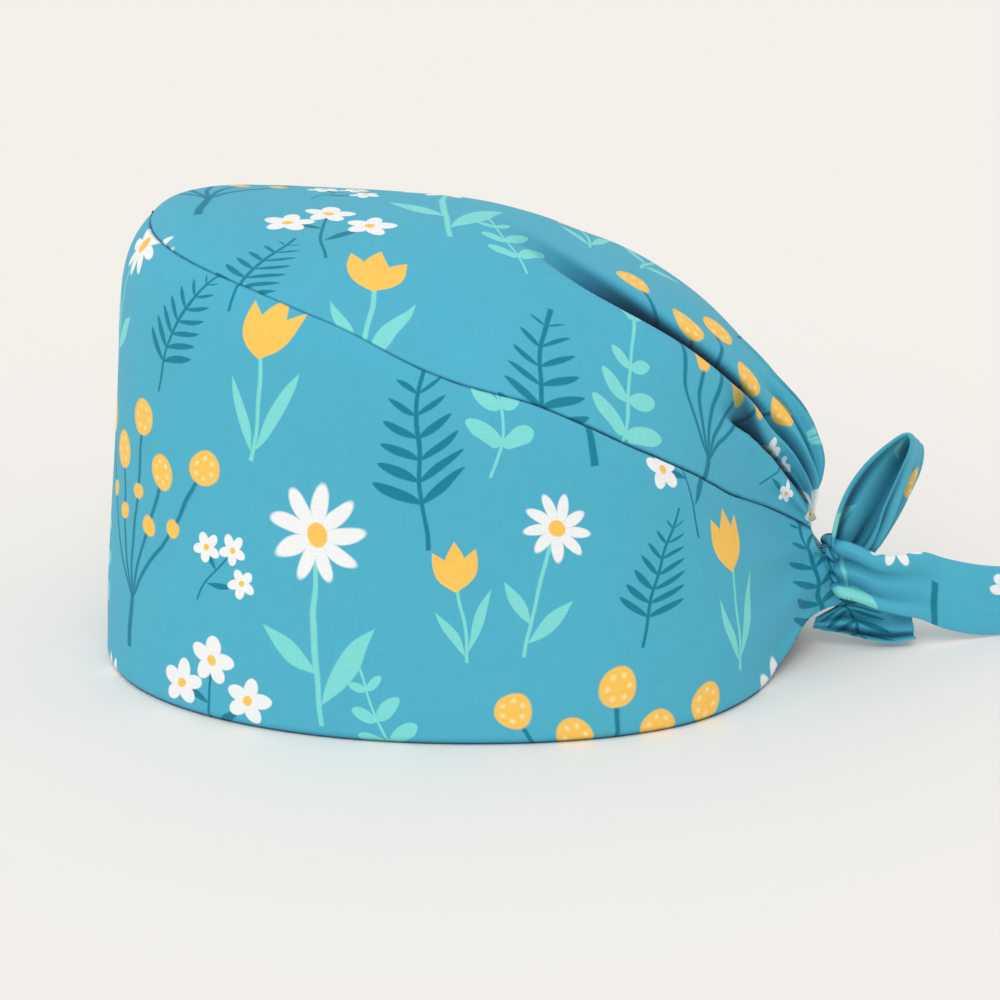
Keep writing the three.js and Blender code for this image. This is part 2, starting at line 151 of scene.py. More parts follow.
def curve_through(rows, at, value):
    """A smooth function of one column of a table, through its rows."""
    x, y = rows[at], rows[value]
    row = np.arange(len(x))
    before, after = np.maximum(row - 1, 0), np.minimum(row + 1, len(x) - 1)
    slope = (y[after] - y[before]) / (x[after] - x[before])

    def curve(where):
        k = np.clip(np.searchsorted(x, where, side="right") - 1, 0, len(x) - 2)
        span = x[k + 1] - x[k]
        t = (where - x[k]) / span
        rise = t * t * (3 - 2 * t)
        bend = slope[k] * (1 - t) - slope[k + 1] * t
        return blend(y[k], y[k + 1], rise) + span * bend * t * (1 - t)

    return curve


seam_height = curve_through(SEAM_ROWS, "turn", "height")
ridge_back = curve_through(RIDGE_ROWS, "turn", "back")
ridge_height = curve_through(RIDGE_ROWS, "turn", "height")
print("seam height over the ear:", round(float(seam_height(90.0)) * FRONT_HEIGHT, 4), "m")

# %% [markdown]
# Seen from above, the rim and the seam are both squared-off ovals. Behind the ears each is drawn in by
# the ties, and a Bezier curve takes over from the oval there: it leaves the oval in the oval's own
# direction, so the cloth has no corner where the pinch begins.

# %% The rim and the seam from above
RIM = dict(middle=0.0, half_length=RIM_LENGTH / 2, half_width=RIM_WIDTH / 2,
           widest_back=RIM_WIDEST_BACK, end=HEM_END, swing=0.5, straight=0.3)
SEAM = dict(middle=(FRONT_LEAN - BACK_LEAN) / 2,
            half_length=(RIM_LENGTH - FRONT_LEAN - BACK_LEAN) / 2,
            half_width=RIM_WIDTH / 2 - SIDE_LEAN,
            widest_back=SEAM_WIDEST_BACK, end=SEAM_END, swing=0.45, straight=0.2)


def unit(vectors):
    """The same directions, each with a length of 1."""
    return vectors / np.maximum(np.linalg.norm(vectors, axis=-1, keepdims=True), 1e-12)


def squared_off(wave, power):
    """A sine or cosine that a power under 1 makes squarer."""
    return np.sign(wave) * np.abs(wave) ** power


def oval(turn, shape):
    along, across = np.cos(np.radians(turn)), np.sin(np.radians(turn))
    ahead = shape["half_length"] * squared_off(along, 2 / RIM_SQUARENESS)
    x = shape["middle"] - ahead + shape["widest_back"] * across**2
    return np.stack([x, shape["half_width"] * squared_off(across, 2 / RIM_SQUARENESS)], -1)


def pinched(turn, shape):
    """The oval, with its last stretch drawn in to an end at the nape."""
    round_way = np.abs(turn)
    start = oval(PINCH_TURN, shape)
    heading = unit(start - oval(PINCH_TURN - 0.1, shape))
    end = np.array(shape["end"])
    reach = np.linalg.norm(end - start)
    second = start + heading * reach * shape["swing"]
    third = end + np.array([-1, 0.15]) * reach * shape["straight"]
    share = np.clip((round_way - PINCH_TURN) / (180 - PINCH_TURN), 0, 1)[..., None]
    t = share * blend(PINCH_PACE, 1, share)
    s = 1 - t
    drawn = s**3 * start + 3 * s**2 * t * second + 3 * s * t**2 * third + t**3 * end
    place = np.where(share > 0, drawn, oval(np.minimum(round_way, PINCH_TURN), shape))
    return place * np.stack([np.ones_like(round_way), np.where(turn < 0, -1.0, 1.0)], -1)


def band_point(turn, up):
    """A point of the smooth side band: up goes from the hem (0) to the seam (1)."""
    turn, up = np.broadcast_arrays(np.asarray(turn, float), np.asarray(up, float))
    round_way = np.abs(turn)
    corner = CORNER_SHARE * (1 - smoothstep(round_way, 100, PINCH_TURN))
    lean = blend(up, up**CORNER_POWER, corner)[..., None]
    place = blend(pinched(turn, RIM), pinched(turn, SEAM), lean)
    hem = HEM_RISE * smoothstep(round_way, PINCH_TURN, 180) ** 1.3
    raised = HEM_RISE + END_HEIGHT - FRONT_HEIGHT * seam_height(180.0)
    top = FRONT_HEIGHT * seam_height(round_way) + raised * smoothstep(round_way, 120, 180)
    point = np.concatenate([place, blend(hem, top, up)[..., None]], -1)
    return point + np.array([cap_middle, 0, 0])


print("forehead seam:", np.round(band_point(0.0, 1.0), 4))

# %% [markdown]
# The crown is a dome over the seam. Each of its sections springs from the seam at one turn, climbs to
# the middle line and comes down on the far side, and place runs across it from -1 to 1. The folds
# are pushed into that dome: a fold has a valley, a lower lip that slides up over the valley as a real
# tuck does, and a swell above it. The gathers at the back are two cosine waves across the cloth, a
# broad one and a fine one. The crease of each fold and the valleys of the gathers also get a number
# from 0 to 1, and the material paints shade into the colour there.

# %% The crown
def dome_point(turn, place):
    turn, place = np.broadcast_arrays(np.asarray(turn, float), np.asarray(place, float))
    down = np.minimum(np.abs(place), 1)
    foot = band_point(np.where(place < 0, -turn, turn), 1.0)
    back = cap_middle + ridge_back(turn) * RIM_LENGTH / 2
    top = FRONT_HEIGHT * ridge_height(turn)
    spread = GATHER_SPREAD * smoothstep(turn, 158, 180) * np.sin(np.pi * down)
    squareness = blend(CROWN_SQUARENESS, 2, smoothstep(turn, 140, 180))
    x = blend(back, foot[..., 0], down**2)
    y = foot[..., 1] * down + np.sign(place) * spread
    z = blend(top, foot[..., 2], down**squareness)
    return np.where((turn == 0)[..., None], foot, np.stack([x, y, z], -1))


def normals_of(surface, turn, place):
    ahead, behind = np.minimum(turn + 0.5, 180), np.maximum(turn - 0.5, 0.5)
    right, left = np.minimum(place + 0.005, 1), np.maximum(place - 0.005, -1)
    along = surface(ahead, place) - surface(np.minimum(behind, ahead - 0.5), place)
    return unit(np.cross(along, surface(turn, right) - surface(turn, left)))


def bell(x, middle, width):
    return np.exp(-(((x - middle) / width) ** 2))


def crown_point(turn, place):
    """A point of the folded crown, and how much shade is painted on it in a crease, from 0 to 1."""
    turn, place = np.broadcast_arrays(np.asarray(turn, float), np.asarray(place, float))
    slide, out, dark = (np.zeros_like(turn) for _ in range(3))
    for fold in FOLD_ROWS:
        grown = smoothstep(turn, fold["start"], fold["full"])
        kept = 1 - FOLD_FADED * smoothstep(turn, fold["last"] - FOLD_FADING, fold["last"])
        swung = np.exp(-np.maximum(turn - fold["start"], 0) / FOLD_SWING)
        line = blend(fold["back_place"], fold["place"], swung)
        below = (place - line) * np.sign(line) / fold["width"]
        lip = 0.4 * bell(below, 0.42, 0.27)
        valley = 1.1 * bell(below, -0.02, 0.28)
        swell = 0.25 * bell(below, -0.95, 0.5)
        out += FOLD_DEPTH * fold["depth"] * grown * kept * (lip - valley + swell)
        slide -= np.sign(line) * fold["lap"] * grown * kept * bell(below, 0.25, 0.32)
        # Painted shade in the fold's crease, from the lip down into the valley, as strong as the row's dark
        # says.
        above = bell(np.minimum(below + 0.42, 0), 0, blend(0.42, 0.17, grown))
        under = bell(np.maximum(below - 0.15, 0), 0, 0.1)
        deep = smoothstep(turn, fold["start"] - 4, blend(fold["start"], fold["full"], 0.7))
        dark = np.maximum(dark, deep * kept * above * under * fold["dark"])
    held = 1 - np.abs(place) ** 8
    gathered = smoothstep(turn, 154, 170) * (1 - smoothstep(turn, 174, 180))
    uneven = np.cos(np.pi * 4.3 * place + 1.1)
    wave = np.cos(np.pi * RUFFLE_COUNT * place + uneven)
    small_wave = np.cos(np.pi * 2.3 * RUFFLE_COUNT * place + 2 * uneven)
    wave = wave + SMALL_RUFFLE * smoothstep(turn, 160, 169) * small_wave
    out = (out + RUFFLE_DEPTH * gathered * (wave - RUFFLES_INWARD)) * held
    moved = np.clip(place + slide * held, -1, 1)
    # Painted shade in the valleys of the gathers too.
    dark = np.maximum(dark, 0.6 * gathered * np.clip(-wave - 0.4, 0, 1)) * held
    return dome_point(turn, moved) + normals_of(dome_point, turn, moved) * out[..., None], dark


print("top of the crown:", round(float(crown_point(30.0, 0.0)[0][2]), 4), "m")

# %% [markdown]
# Real cloth is never as smooth as its pattern. A seam puckers, because its thread is a little tighter
# than the cloth. Those small waves run along the seam, and they die out a finger's width away from it.
# A k-d tree answers "how far is this point from the seam, and where along it?" for every point.

# %% The seam's pull on the cloth near it
SEAM_ROUNDING = 1.5 * MM
# SEAM_LINE and SEAM_SHADE are the width and the depth of the painted shade along the seam's crease.
SEAM_LINE = 0.42 * MM
SEAM_SHADE = 0.85
PUCKER_HEIGHT = 0.14 * MM
PUCKER_REACH = 5 * MM


def run_along(points, axis=0):
    """How much length lies behind each point of a line, or of a grid's lines along one axis."""
    steps = np.linalg.norm(np.diff(points, axis=axis), axis=-1)
    return np.insert(np.cumsum(steps, axis=axis), 0, 0, axis=axis)


seam_line = band_point(np.linspace(-180, 180, 1441), 1.0)
seam_run = run_along(seam_line)
seam_tree = KDTree(len(seam_line))
for i, point in enumerate(seam_line):
    seam_tree.insert(point, i)
seam_tree.balance()


def seam_distance(points):
    """For each point, how far the seam is and how far along the seam its nearest place lies."""
    found = [seam_tree.find(point)[1:] for point in points.reshape(-1, 3)]
    index, distance = np.array(found).T
    shape = points.shape[:-1]
    return distance.reshape(shape), seam_run[index.astype(int)].reshape(shape)


def seam_relief(points):
    """How far the cloth stands out near the seam, and how much shade is painted on it in the seam's crease.
    """
    distance, run = seam_distance(points)
    inward = 1 - np.minimum(distance / SEAM_ROUNDING, 1)
    groove = -SEAM_ROUNDING * (1 - np.sqrt(1 - inward**2))
    strength = 0.6 + 0.4 * np.sin(run / 0.041 + 0.7) * np.sin(run / 0.067)
    waves = np.sin(run / 0.0021 + 2 * np.sin(run / 0.013)) + 0.7 * np.sin(run / 0.0037 + 1.3)
    near = np.exp(-distance / PUCKER_REACH) * np.clip(distance / MM, 0, 1)
    # The second value is painted shade: a thin dark line in the seam's crease.
    return groove + PUCKER_HEIGHT * strength * waves * near, SEAM_SHADE * bell(distance, 0, SEAM_LINE)


print("crown seam:", round(float(seam_run[-1]), 3), "m round")

# %% [markdown]
# A sheet is built from its outer grid: the inner side is the same grid moved in by the thickness, and a
# strip closes the edge all round. The outer side has the printed cloth, and the inner side has the
# cloth's paler reverse. Where one edge of the grid is a single point, as at the front of the crown,
# its doubles are merged, so the wall stays closed.

# %% A closed sheet of cloth from a grid of points
def grid_normals(points):
    return unit(np.cross(np.gradient(points, axis=0), np.gradient(points, axis=1)))


def add_object(name, data):
    added = bpy.data.objects.new(name, data)
    bpy.context.scene.collection.objects.link(added)
    return added


def mesh_object(name, points, faces, uvs, painted_shade, materials, face_material):
    """A piece in the shared frame, with its UV map "cloth" and the shade painted in its creases given for
    each point.
    """
    mesh = bpy.data.meshes.new(name)
    mesh.from_pydata(points.tolist(), [], faces)
    layer = mesh.uv_layers.new(name="cloth")
    corners = np.empty(len(mesh.loops), int)
    mesh.loops.foreach_get("vertex_index", corners)
    layer.data.foreach_set("uv", uvs[corners].astype(np.float32).ravel())
    # Painted shade: how dark each point is painted for lying in a crease, along a seam or at the hem's foot.
    depth = mesh.attributes.new("painted_shade", "FLOAT", "POINT")
    depth.data.foreach_set("value", painted_shade.astype(np.float32).ravel())
    for material in materials:
        mesh.materials.append(material)
    mesh.polygons.foreach_set("material_index", face_material)
    mesh.polygons.foreach_set("use_smooth", np.ones(len(faces), bool))
    return add_object(name, mesh)


def merge_doubles(piece):
    shape = bmesh.new()
    shape.from_mesh(piece.data)
    bmesh.ops.remove_doubles(shape, verts=shape.verts, dist=1e-7)
    shape.to_mesh(piece.data)
    shape.free()


def cloth_sheet(name, outer, normals, uv, painted_shade, thickness=CLOTH_THICKNESS, pole=False):
    rows, columns = outer.shape[:2]
    inner = outer - normals * thickness
    painted_shade = np.concatenate([painted_shade.ravel()] * 2)
    points = np.concatenate([outer.reshape(-1, 3), inner.reshape(-1, 3)])
    uvs = np.concatenate([uv.reshape(-1, 2)] * 2)
    index = np.arange(rows * columns).reshape(rows, columns)
    a, b, c, d = index[:-1, :-1], index[1:, :-1], index[1:, 1:], index[:-1, 1:]
    under = rows * columns
    front = np.stack([a, b, c, d], -1).reshape(-1, 4)
    reverse = np.stack([a, d, c, b], -1).reshape(-1, 4) + under
    border = np.concatenate([index[0, :-1], index[:-1, -1], index[-1, :0:-1], index[:0:-1, 0]])
    following = np.roll(border, -1)
    if pole:
        border, following = border[columns - 1:], following[columns - 1:]
    edge = np.stack([border, following, following + under, border + under], -1)
    faces = np.concatenate([front, reverse, edge])
    inside = np.concatenate([np.zeros(len(front)), np.ones(len(reverse)), np.zeros(len(edge))])
    piece = mesh_object(name, points, faces.tolist(), uvs, painted_shade, COTTONS, inside.astype(np.int32))
    if pole:
        merge_doubles(piece)
    print(f"{name}: {len(faces)} faces")
    return piece


# %% [markdown]
# The print is drawn by the shader, so it stays sharp at any distance. One function adds a node of any
# kind and feeds its inputs. A small class lets formulas be written as formulas: adding two fields makes
# a Math node and returns its result. A shape is a field that is positive inside the shape, and its edge
# is softened over a fraction of a millimetre, as ink spreads a little into cotton.

# %% Nodes, and formulas that build them
def set_inputs(tree, node, inputs):
    """Gives each input, by name or number, a field, a socket or a plain value."""
    for title, value in dict(inputs).items():
        value = value.socket if isinstance(value, Field) else value
        if isinstance(value, bpy.types.NodeSocket):
            tree.links.new(value, node.inputs[title])
        else:
            node.inputs[title].default_value = value


def add_node(tree, kind, inputs=(), **settings):
    node = tree.nodes.new(kind)
    for title, value in settings.items():
        setattr(node, title, value)
    set_inputs(tree, node, inputs)
    return node


def math_method(operation):
    """A method that adds one Math node to a field's tree."""
    def method(self, *others):
        return self.math(operation, *others)

    return method


class Field:
    """A number that varies over the cloth, and the node socket that gives it."""

    def __init__(self, tree, socket):
        self.tree = tree
        self.socket = socket

    def math(self, operation, *others):
        inputs = enumerate((self, *others))
        node = add_node(self.tree, "ShaderNodeMath", inputs, operation=operation)
        return Field(self.tree, node.outputs[0])

    __add__ = math_method("ADD")
    __sub__ = math_method("SUBTRACT")
    __mul__ = math_method("MULTIPLY")
    __truediv__ = math_method("DIVIDE")
    __abs__ = math_method("ABSOLUTE")
    sine = math_method("SINE")
    cosine = math_method("COSINE")
    round = math_method("ROUND")
    root = math_method("SQRT")
    smaller = math_method("MINIMUM")
    larger = math_method("MAXIMUM")

    def __neg__(self):
        return self * -1.0

    def clamped(self):
        return self.larger(0.0).smaller(1.0)


def new_group(name, inputs, outputs, tree_type="ShaderNodeTree"):
    """A node group, the sockets that its inputs give, and the sockets that its outputs take."""
    tree = bpy.data.node_groups.new(name, tree_type)
    for title, kind in inputs:
        tree.interface.new_socket(title, in_out="INPUT", socket_type="NodeSocket" + kind)
    for title, kind in outputs:
        tree.interface.new_socket(title, in_out="OUTPUT", socket_type="NodeSocket" + kind)
    entry = tree.nodes.new("NodeGroupInput")
    leave = tree.nodes.new("NodeGroupOutput")
    return tree, entry.outputs, leave.inputs


def parts_of(tree, vector):
    split = add_node(tree, "ShaderNodeSeparateXYZ", {0: vector})
    return Field(tree, split.outputs["X"]), Field(tree, split.outputs["Y"])


def use_group(tree, group, **values):
    return add_node(tree, "ShaderNodeGroup", values, node_tree=group)


def painted(tree, under, share, colour, way="MIX"):
    """The colour under, with another mixed into it by a share of 0 to 1."""
    inputs = {"Factor": share, 6: under, 7: colour}
    return add_node(tree, "ShaderNodeMix", inputs, data_type="RGBA", blend_type=way).outputs[2]


# %% [markdown]
# Colours are written as the screen shows them, and the shader wants them in linear light. The ground is
# the turquoise of the dyed cotton, and the print adds five inks. Last comes the shade that is painted
# into creases: a crease isn't only darker than the cloth round it, since light that bounces about in it
# takes on the dye, so the middle shades painted there are a deeper blue.

# %% The colours of the print
def linear(red, green, blue):
    """A colour from screen values of 0 to 255."""
    share = np.array([red, green, blue]) / 255
    level = np.where(share <= 0.04045, share / 12.92, ((share + 0.055) / 1.055) ** 2.4)
    return (*level.tolist(), 1.0)


GROUND = linear(77, 177, 203)
DEEP_TEAL = linear(8, 128, 153)
MINT = linear(128, 220, 216)
WHITE = linear(243, 245, 246)
YELLOW = linear(255, 200, 92)
PALE_YELLOW = linear(255, 226, 158)
# Painted shade for creases, seams and the hem's foot: the colours that the cloth is multiplied by, from none
# to the deepest.
CREASE_SHADES = [(0.0, (1.0, 1.0, 1.0, 1.0)), (0.45, (0.38, 0.56, 0.64, 1.0)), (1.0, (0.03, 0.06, 0.1, 1.0))]

# %% [markdown]
# Each motif is drawn once, in its own units: x across and y up from 0 at its foot to 1 at its tip. The
# shapes are a pointed leaf, a stem that bends, a ring of petals, and leaflets repeated up a stem. A
# ring is made by folding the angle round the flower's middle back into one petal's share, and the
# leaflets by folding the height up the stem into one leaflet's step.

# %% The shapes that motifs are made of
SOFT_EDGE = 0.007


def filled(depth, softness=SOFT_EDGE):
    """A mask from a field that is positive inside a shape."""
    return (depth / softness + 0.5).clamped()


def disc(x, y, radius):
    return -((x * x + y * y).root() - radius)


def stem(x, y, bend, width, foot, tip):
    """A line whose middle bends aside as it climbs, between two heights."""
    from_middle = abs(x - y * y * bend)
    return (-(from_middle - width)).smaller(y - foot).smaller(-(y - tip))


def leaf(x, y, at, turn, length, width):
    """A pointed leaf that grows from a place on the stem, turned from straight up."""
    sine, cosine = math.sin(math.radians(turn)), math.cos(math.radians(turn))
    x, y = x - at[0], y - at[1]
    along = (x * sine + y * cosine) / length
    aside = x * cosine - y * sine
    return (along.clamped() * math.pi).sine() * width - abs(aside) - 0.004


def petals(x, y, count, middle, length, width):
    """A ring of oval petals round the origin."""
    step = 2 * math.pi / count
    angle = y.math("ARCTAN2", x) / step
    folded = (angle - angle.round()) * step
    radius = (x * x + y * y).root()
    out = (radius * folded.cosine() - middle) / length
    aside = (radius * folded.sine()) / width
    return (-((out * out + aside * aside).root() - 1.0)) * min(length, width)


def leaflets(x, y, pairs, climb, reach, width, foot, tip):
    """Leaflets on both sides of a stem, each climbing as it leaves the stem."""
    side = abs(x)
    height = (y - side * climb) * pairs
    folded = abs(height - height.round()) / pairs
    taper = (-((y - side * climb) - tip)) / (tip - foot)
    span = (side / reach / (taper.larger(0.08).root())).clamped()
    inside = (span * math.pi).sine().root() * taper.larger(0.0).root() * width - folded - 0.003
    return inside.smaller(y - side * climb - foot).smaller(-(y - side * climb - tip))


# %% [markdown]
# Six motifs make the print: a daisy, a fern, a sprig, button flowers, small star flowers and a cup
# flower. Each function gives its shapes and their inks in the order of painting. Each becomes a node
# group that takes the colour already there and paints itself over it, so they can be stacked.

# %% The motifs
def daisy(x, y):
    """A round white daisy with a yellow middle, on a mint stem with two leaves."""
    green = stem(x, y, 0.1, 0.011, 0.02, 0.78)
    green = green.larger(leaf(x, y, (0.005, 0.1), 38, 0.4, 0.05))
    green = green.larger(leaf(x, y, (0.012, 0.22), -42, 0.32, 0.045))
    head_x, head_y = x - 0.065, y - 0.8
    head = petals(head_x, head_y, 9, 0.118, 0.085, 0.034)
    return [(green, MINT), (head, WHITE), (disc(head_x, head_y, 0.05), YELLOW)]


def fern(x, y):
    """A deep teal fern frond."""
    x = x - y * y * 0.16
    frond = leaflets(x, y, 9.5, 0.62, 0.25, 0.034, 0.14, 0.93)
    return [(stem(x, y, 0.0, 0.012, 0.0, 0.97).larger(frond), DEEP_TEAL)]


def sprig(x, y):
    """A mint sprig with round paired leaves."""
    x = x + y * y * 0.12
    leaves = leaflets(x, y, 4.6, 0.5, 0.22, 0.076, 0.16, 0.9)
    return [(stem(x, y, 0.0, 0.01, 0.0, 0.92).larger(leaves), MINT)]


def buttons(x, y):
    """A fan of round yellow button flowers on thin deep teal stems."""
    between = math.radians(15.5)
    y = y - 0.18
    radius = (x * x + y * y).root()
    fan = x.math("ARCTAN2", y) / between
    ray = fan.round()
    folded = (fan - ray) * between
    within = -(abs(ray) - 2.5)
    odd = abs(ray - (ray / 2.0).round() * 2.0)
    reach = -(odd * 0.15 - 0.72)
    aside = radius * folded.sine()
    along = radius * folded.cosine()
    stalks = (-(abs(aside) - 0.0085)).smaller(-(radius - reach)).smaller(within)
    stalks = stalks.larger(stem(x, y, 0.0, 0.014, -0.18, 0.02))
    heads = disc(aside, along - reach, 0.068).smaller(within)
    lower = disc(abs(aside) - 0.006, along - reach * 0.6, 0.03).smaller(within)
    dots = petals(aside, along - reach, 6, 0.04, 0.009, 0.009).smaller(within)
    return [(stalks, DEEP_TEAL), (heads.larger(lower), YELLOW), (dots, PALE_YELLOW)]


def stars(x, y):
    """Three white flowers of five petals with yellow eyes, over a curved deep teal stem."""
    dark = stem(x, y, 0.3, 0.011, 0.0, 0.62).larger(leaf(x, y, (0.02, 0.2), 64, 0.34, 0.035))
    drawn = [(dark.larger(leaf(x, y, (0.06, 0.38), -50, 0.3, 0.032)), DEEP_TEAL)]
    for across, up in ((0.13, 0.68), (-0.14, 0.55), (0.36, 0.42)):
        near_x, near_y = x - across, y - up
        drawn.append((petals(near_x, near_y, 5, 0.085, 0.072, 0.05), WHITE))
        drawn.append((disc(near_x, near_y, 0.032), YELLOW))
    return drawn


def cup(x, y):
    """A yellow cup flower with three pointed petals on a mint stem."""
    green = stem(x, y, -0.08, 0.012, 0.0, 0.62).larger(leaf(x, y, (0.0, 0.06), 22, 0.55, 0.045))
    green = green.larger(leaf(x, y, (-0.005, 0.04), -26, 0.45, 0.04))
    flower = leaf(x + 0.04, y, (0.0, 0.56), 0, 0.38, 0.085)
    for turn in (27, -27):
        flower = flower.larger(leaf(x + 0.04, y, (0.0, 0.56), turn, 0.36, 0.07))
    return [(green, MINT), (flower, YELLOW)]


def motif_group(draw):
    sockets = [("Under", "Color"), ("Place", "Vector")]
    tree, entry, leave = new_group(draw.__name__, sockets, [("Color", "Color")])
    colour = entry["Under"]
    for shape, ink in draw(*parts_of(tree, entry["Place"])):
        colour = painted(tree, colour, filled(shape), ink)
    tree.links.new(colour, leave["Color"])
    return tree


MOTIFS = {draw.__name__: motif_group(draw) for draw in (daisy, fern, sprig, buttons, stars, cup)}
print("motifs:", ", ".join(MOTIFS))

# %% [markdown]
# The cloth repeats one tile. Every second column of tiles is dropped by half a tile, which is how
# printers hide a repeat. A table says which motif stands where in the tile, how it leans and how many
# millimetres tall it is. A slow noise shifts the whole drawing by a millimetre here and there, so that
# stems and petals look drawn by hand.

# %% The floral print
TILE_WIDTH = 170 * MM
TILE_HEIGHT = 150 * MM
HAND_WOBBLE = 5 * MM
WOBBLE_SCALE = 38
PRINT_ROWS = named_rows("motif across up turn tall", [
    ("buttons", 0.26, 0.40, 3, 88),
    ("daisy", 0.69, 0.30, -6, 80),
    ("fern", 0.88, 0.66, -10, 66),
    ("cup", 0.59, 0.79, 8, 58),
    ("sprig", 0.07, 0.27, 10, 56),
    ("stars", 0.46, 0.08, -12, 50),
    ("daisy", 0.12, 0.88, 10, 56),
    ("fern", 0.36, 0.86, 14, 48),
    ("sprig", 0.83, 0.10, -16, 44),
    ("cup", 0.98, 0.34, -6, 42),
    ("stars", 0.49, 0.38, 20, 34),
])


def placing_group():
    """From a place on the cloth to a place in one motif's own units."""
    tree, entry, leave = new_group(
        "motif_place",
        [("Cloth", "Vector"), ("Across", "Float"), ("Up", "Float"), ("Turn", "Float"), ("Height", "Float")],
        [("Place", "Vector")])
    u, v = parts_of(tree, entry["Cloth"])
    across, up, turn, height = (Field(tree, entry[title]) for title in ("Across", "Up", "Turn", "Height"))
    u, v = u - across, v - up
    column = (u / TILE_WIDTH).round()
    u = u - column * TILE_WIDTH
    v = (v - column * (TILE_HEIGHT / 2) + height * 0.5).math("WRAP", TILE_HEIGHT, 0.0) - height * 0.5
    sine, cosine = turn.sine(), turn.cosine()
    x = (u * cosine - v * sine) / height
    y = (u * sine + v * cosine) / height + 0.5
    joined = add_node(tree, "ShaderNodeCombineXYZ", {"X": x, "Y": y})
    tree.links.new(joined.outputs[0], leave["Place"])
    return tree


def print_group():
    tree, entry, leave = new_group("floral_print", [("Cloth", "Vector")], [("Color", "Color")])
    cloth = entry["Cloth"]
    wobble = add_node(tree, "ShaderNodeTexNoise", {"Vector": cloth, "Scale": WOBBLE_SCALE, "Detail": 1},
                      noise_dimensions="2D")
    drawn_at = add_node(tree, "ShaderNodeVectorMath",
                        {0: wobble.outputs["Color"], 1: (HAND_WOBBLE, HAND_WOBBLE, 0), 2: cloth},
                        operation="MULTIPLY_ADD").outputs[0]
    place = placing_group()
    colour = GROUND
    for row in PRINT_ROWS:
        at = use_group(tree, place, Cloth=drawn_at, Across=row["across"] * TILE_WIDTH,
                       Up=row["up"] * TILE_HEIGHT, Turn=math.radians(row["turn"]), Height=row["tall"] * MM)
        colour = use_group(tree, MOTIFS[row["motif"]], Under=colour, Place=at.outputs[0]).outputs[0]
    tree.links.new(colour, leave["Color"])
    return tree


floral_print = print_group()
print("print:", sum(len(group.nodes) for group in MOTIFS.values()), "nodes in the motifs")

# %% [markdown]
# Poplin is a plain weave: the warp goes over one weft thread and under the next. Two sine waves across
# each other give its height, and a noise stretched along each thread gives the thick and thin places
# in the yarn. The weave only feeds bump, so it never costs geometry.

# %% The weave
THREAD_PITCH = 0.42 * MM
SLUB_SCALES = [(2600, 90, 1), (90, 2600, 1)]
WEAVE_HEIGHT = 0.12 * MM


def weave_group():
    tree, entry, leave = new_group("plain_weave", [("Cloth", "Vector")],
                                   [("Height", "Float"), ("Slub", "Float")])
    u, v = parts_of(tree, entry["Cloth"])
    warp = (u * (math.pi / THREAD_PITCH)).sine()
    weft = (v * (math.pi / THREAD_PITCH)).sine()
    slubs = []
    for stretch in SLUB_SCALES:
        inputs = {0: entry["Cloth"], 1: stretch}
        scaled = add_node(tree, "ShaderNodeVectorMath", inputs, operation="MULTIPLY").outputs[0]
        inputs = {"Vector": scaled, "Scale": 1, "Detail": 0}
        noise = add_node(tree, "ShaderNodeTexNoise", inputs, noise_dimensions="2D")
        slubs.append(Field(tree, noise.outputs["Fac"]))
    slub = (slubs[0] + slubs[1]) * 0.5
    height = abs(warp * weft) * 0.5 + slub * 0.6
    tree.links.new(height.socket, leave["Height"])
    tree.links.new(slub.socket, leave["Slub"])
    return tree


plain_weave = weave_group()

# %% [markdown]
# One function makes each cotton: the outer side shows the print as it is, the reverse shows it faintly
# through the threads, and the ties are the same print folded. The yarn's thick and thin places darken
# and lighten the colour a little, and cotton has a soft sheen at a glancing look.

# %% The cottons
def new_material(name):
    material = bpy.data.materials.new(name)
    material.use_nodes = True
    return material, material.node_tree, material.node_tree.nodes["Principled BSDF"]


def cotton(name, reverse=0.0):
    material, tree, shader = new_material(name)
    cloth = add_node(tree, "ShaderNodeUVMap", uv_map="cloth").outputs[0]
    drawn = use_group(tree, floral_print, Cloth=cloth).outputs[0]
    weave = use_group(tree, plain_weave, Cloth=cloth).outputs
    faded = painted(tree, drawn, reverse, linear(150, 206, 220))
    # Painted shade: the colour is multiplied by the crease shades as far as each point's painted shade
    # attribute says.
    depth = add_node(tree, "ShaderNodeAttribute", attribute_name="painted_shade")
    shade = add_node(tree, "ShaderNodeValToRGB", {"Fac": depth.outputs["Fac"]})
    shade.color_ramp.elements.new(CREASE_SHADES[1][0])
    for element, (position, colour) in zip(shade.color_ramp.elements, CREASE_SHADES):
        element.position, element.color = position, colour
    with_painted_shade = painted(tree, faded, 1.0, shade.outputs["Color"], "MULTIPLY")
    slub = Field(tree, weave["Slub"])
    varied = add_node(tree, "ShaderNodeHueSaturation",
                      {"Value": (slub - 0.5) * 0.16 + 1.0, "Color": with_painted_shade})
    bump = add_node(tree, "ShaderNodeBump",
                    {"Strength": 0.35, "Distance": WEAVE_HEIGHT, "Height": weave["Height"]})
    set_inputs(tree, shader, {
        "Base Color": varied.outputs[0], "Normal": bump.outputs[0], "Roughness": (slub - 0.5) * 0.2 + 0.82,
        "Sheen Weight": 0.06, "Sheen Roughness": 0.5, "Specular IOR Level": 0.3,
    })
    return material


printed_cotton = cotton("printed_cotton")
reverse_cotton = cotton("reverse_cotton", reverse=0.6)
COTTONS = [printed_cotton, reverse_cotton]

# %% [markdown]
# The side band is one strip, so its grid is the strip itself: columns go round from one end at the
# nape past the forehead to the other end, and rows go up from hem to seam. It is pulled by the knot,
# so shallow folds run into it from each end, and the free cloth in front has the slow hollows that
# a soft wall has when it stands by itself.

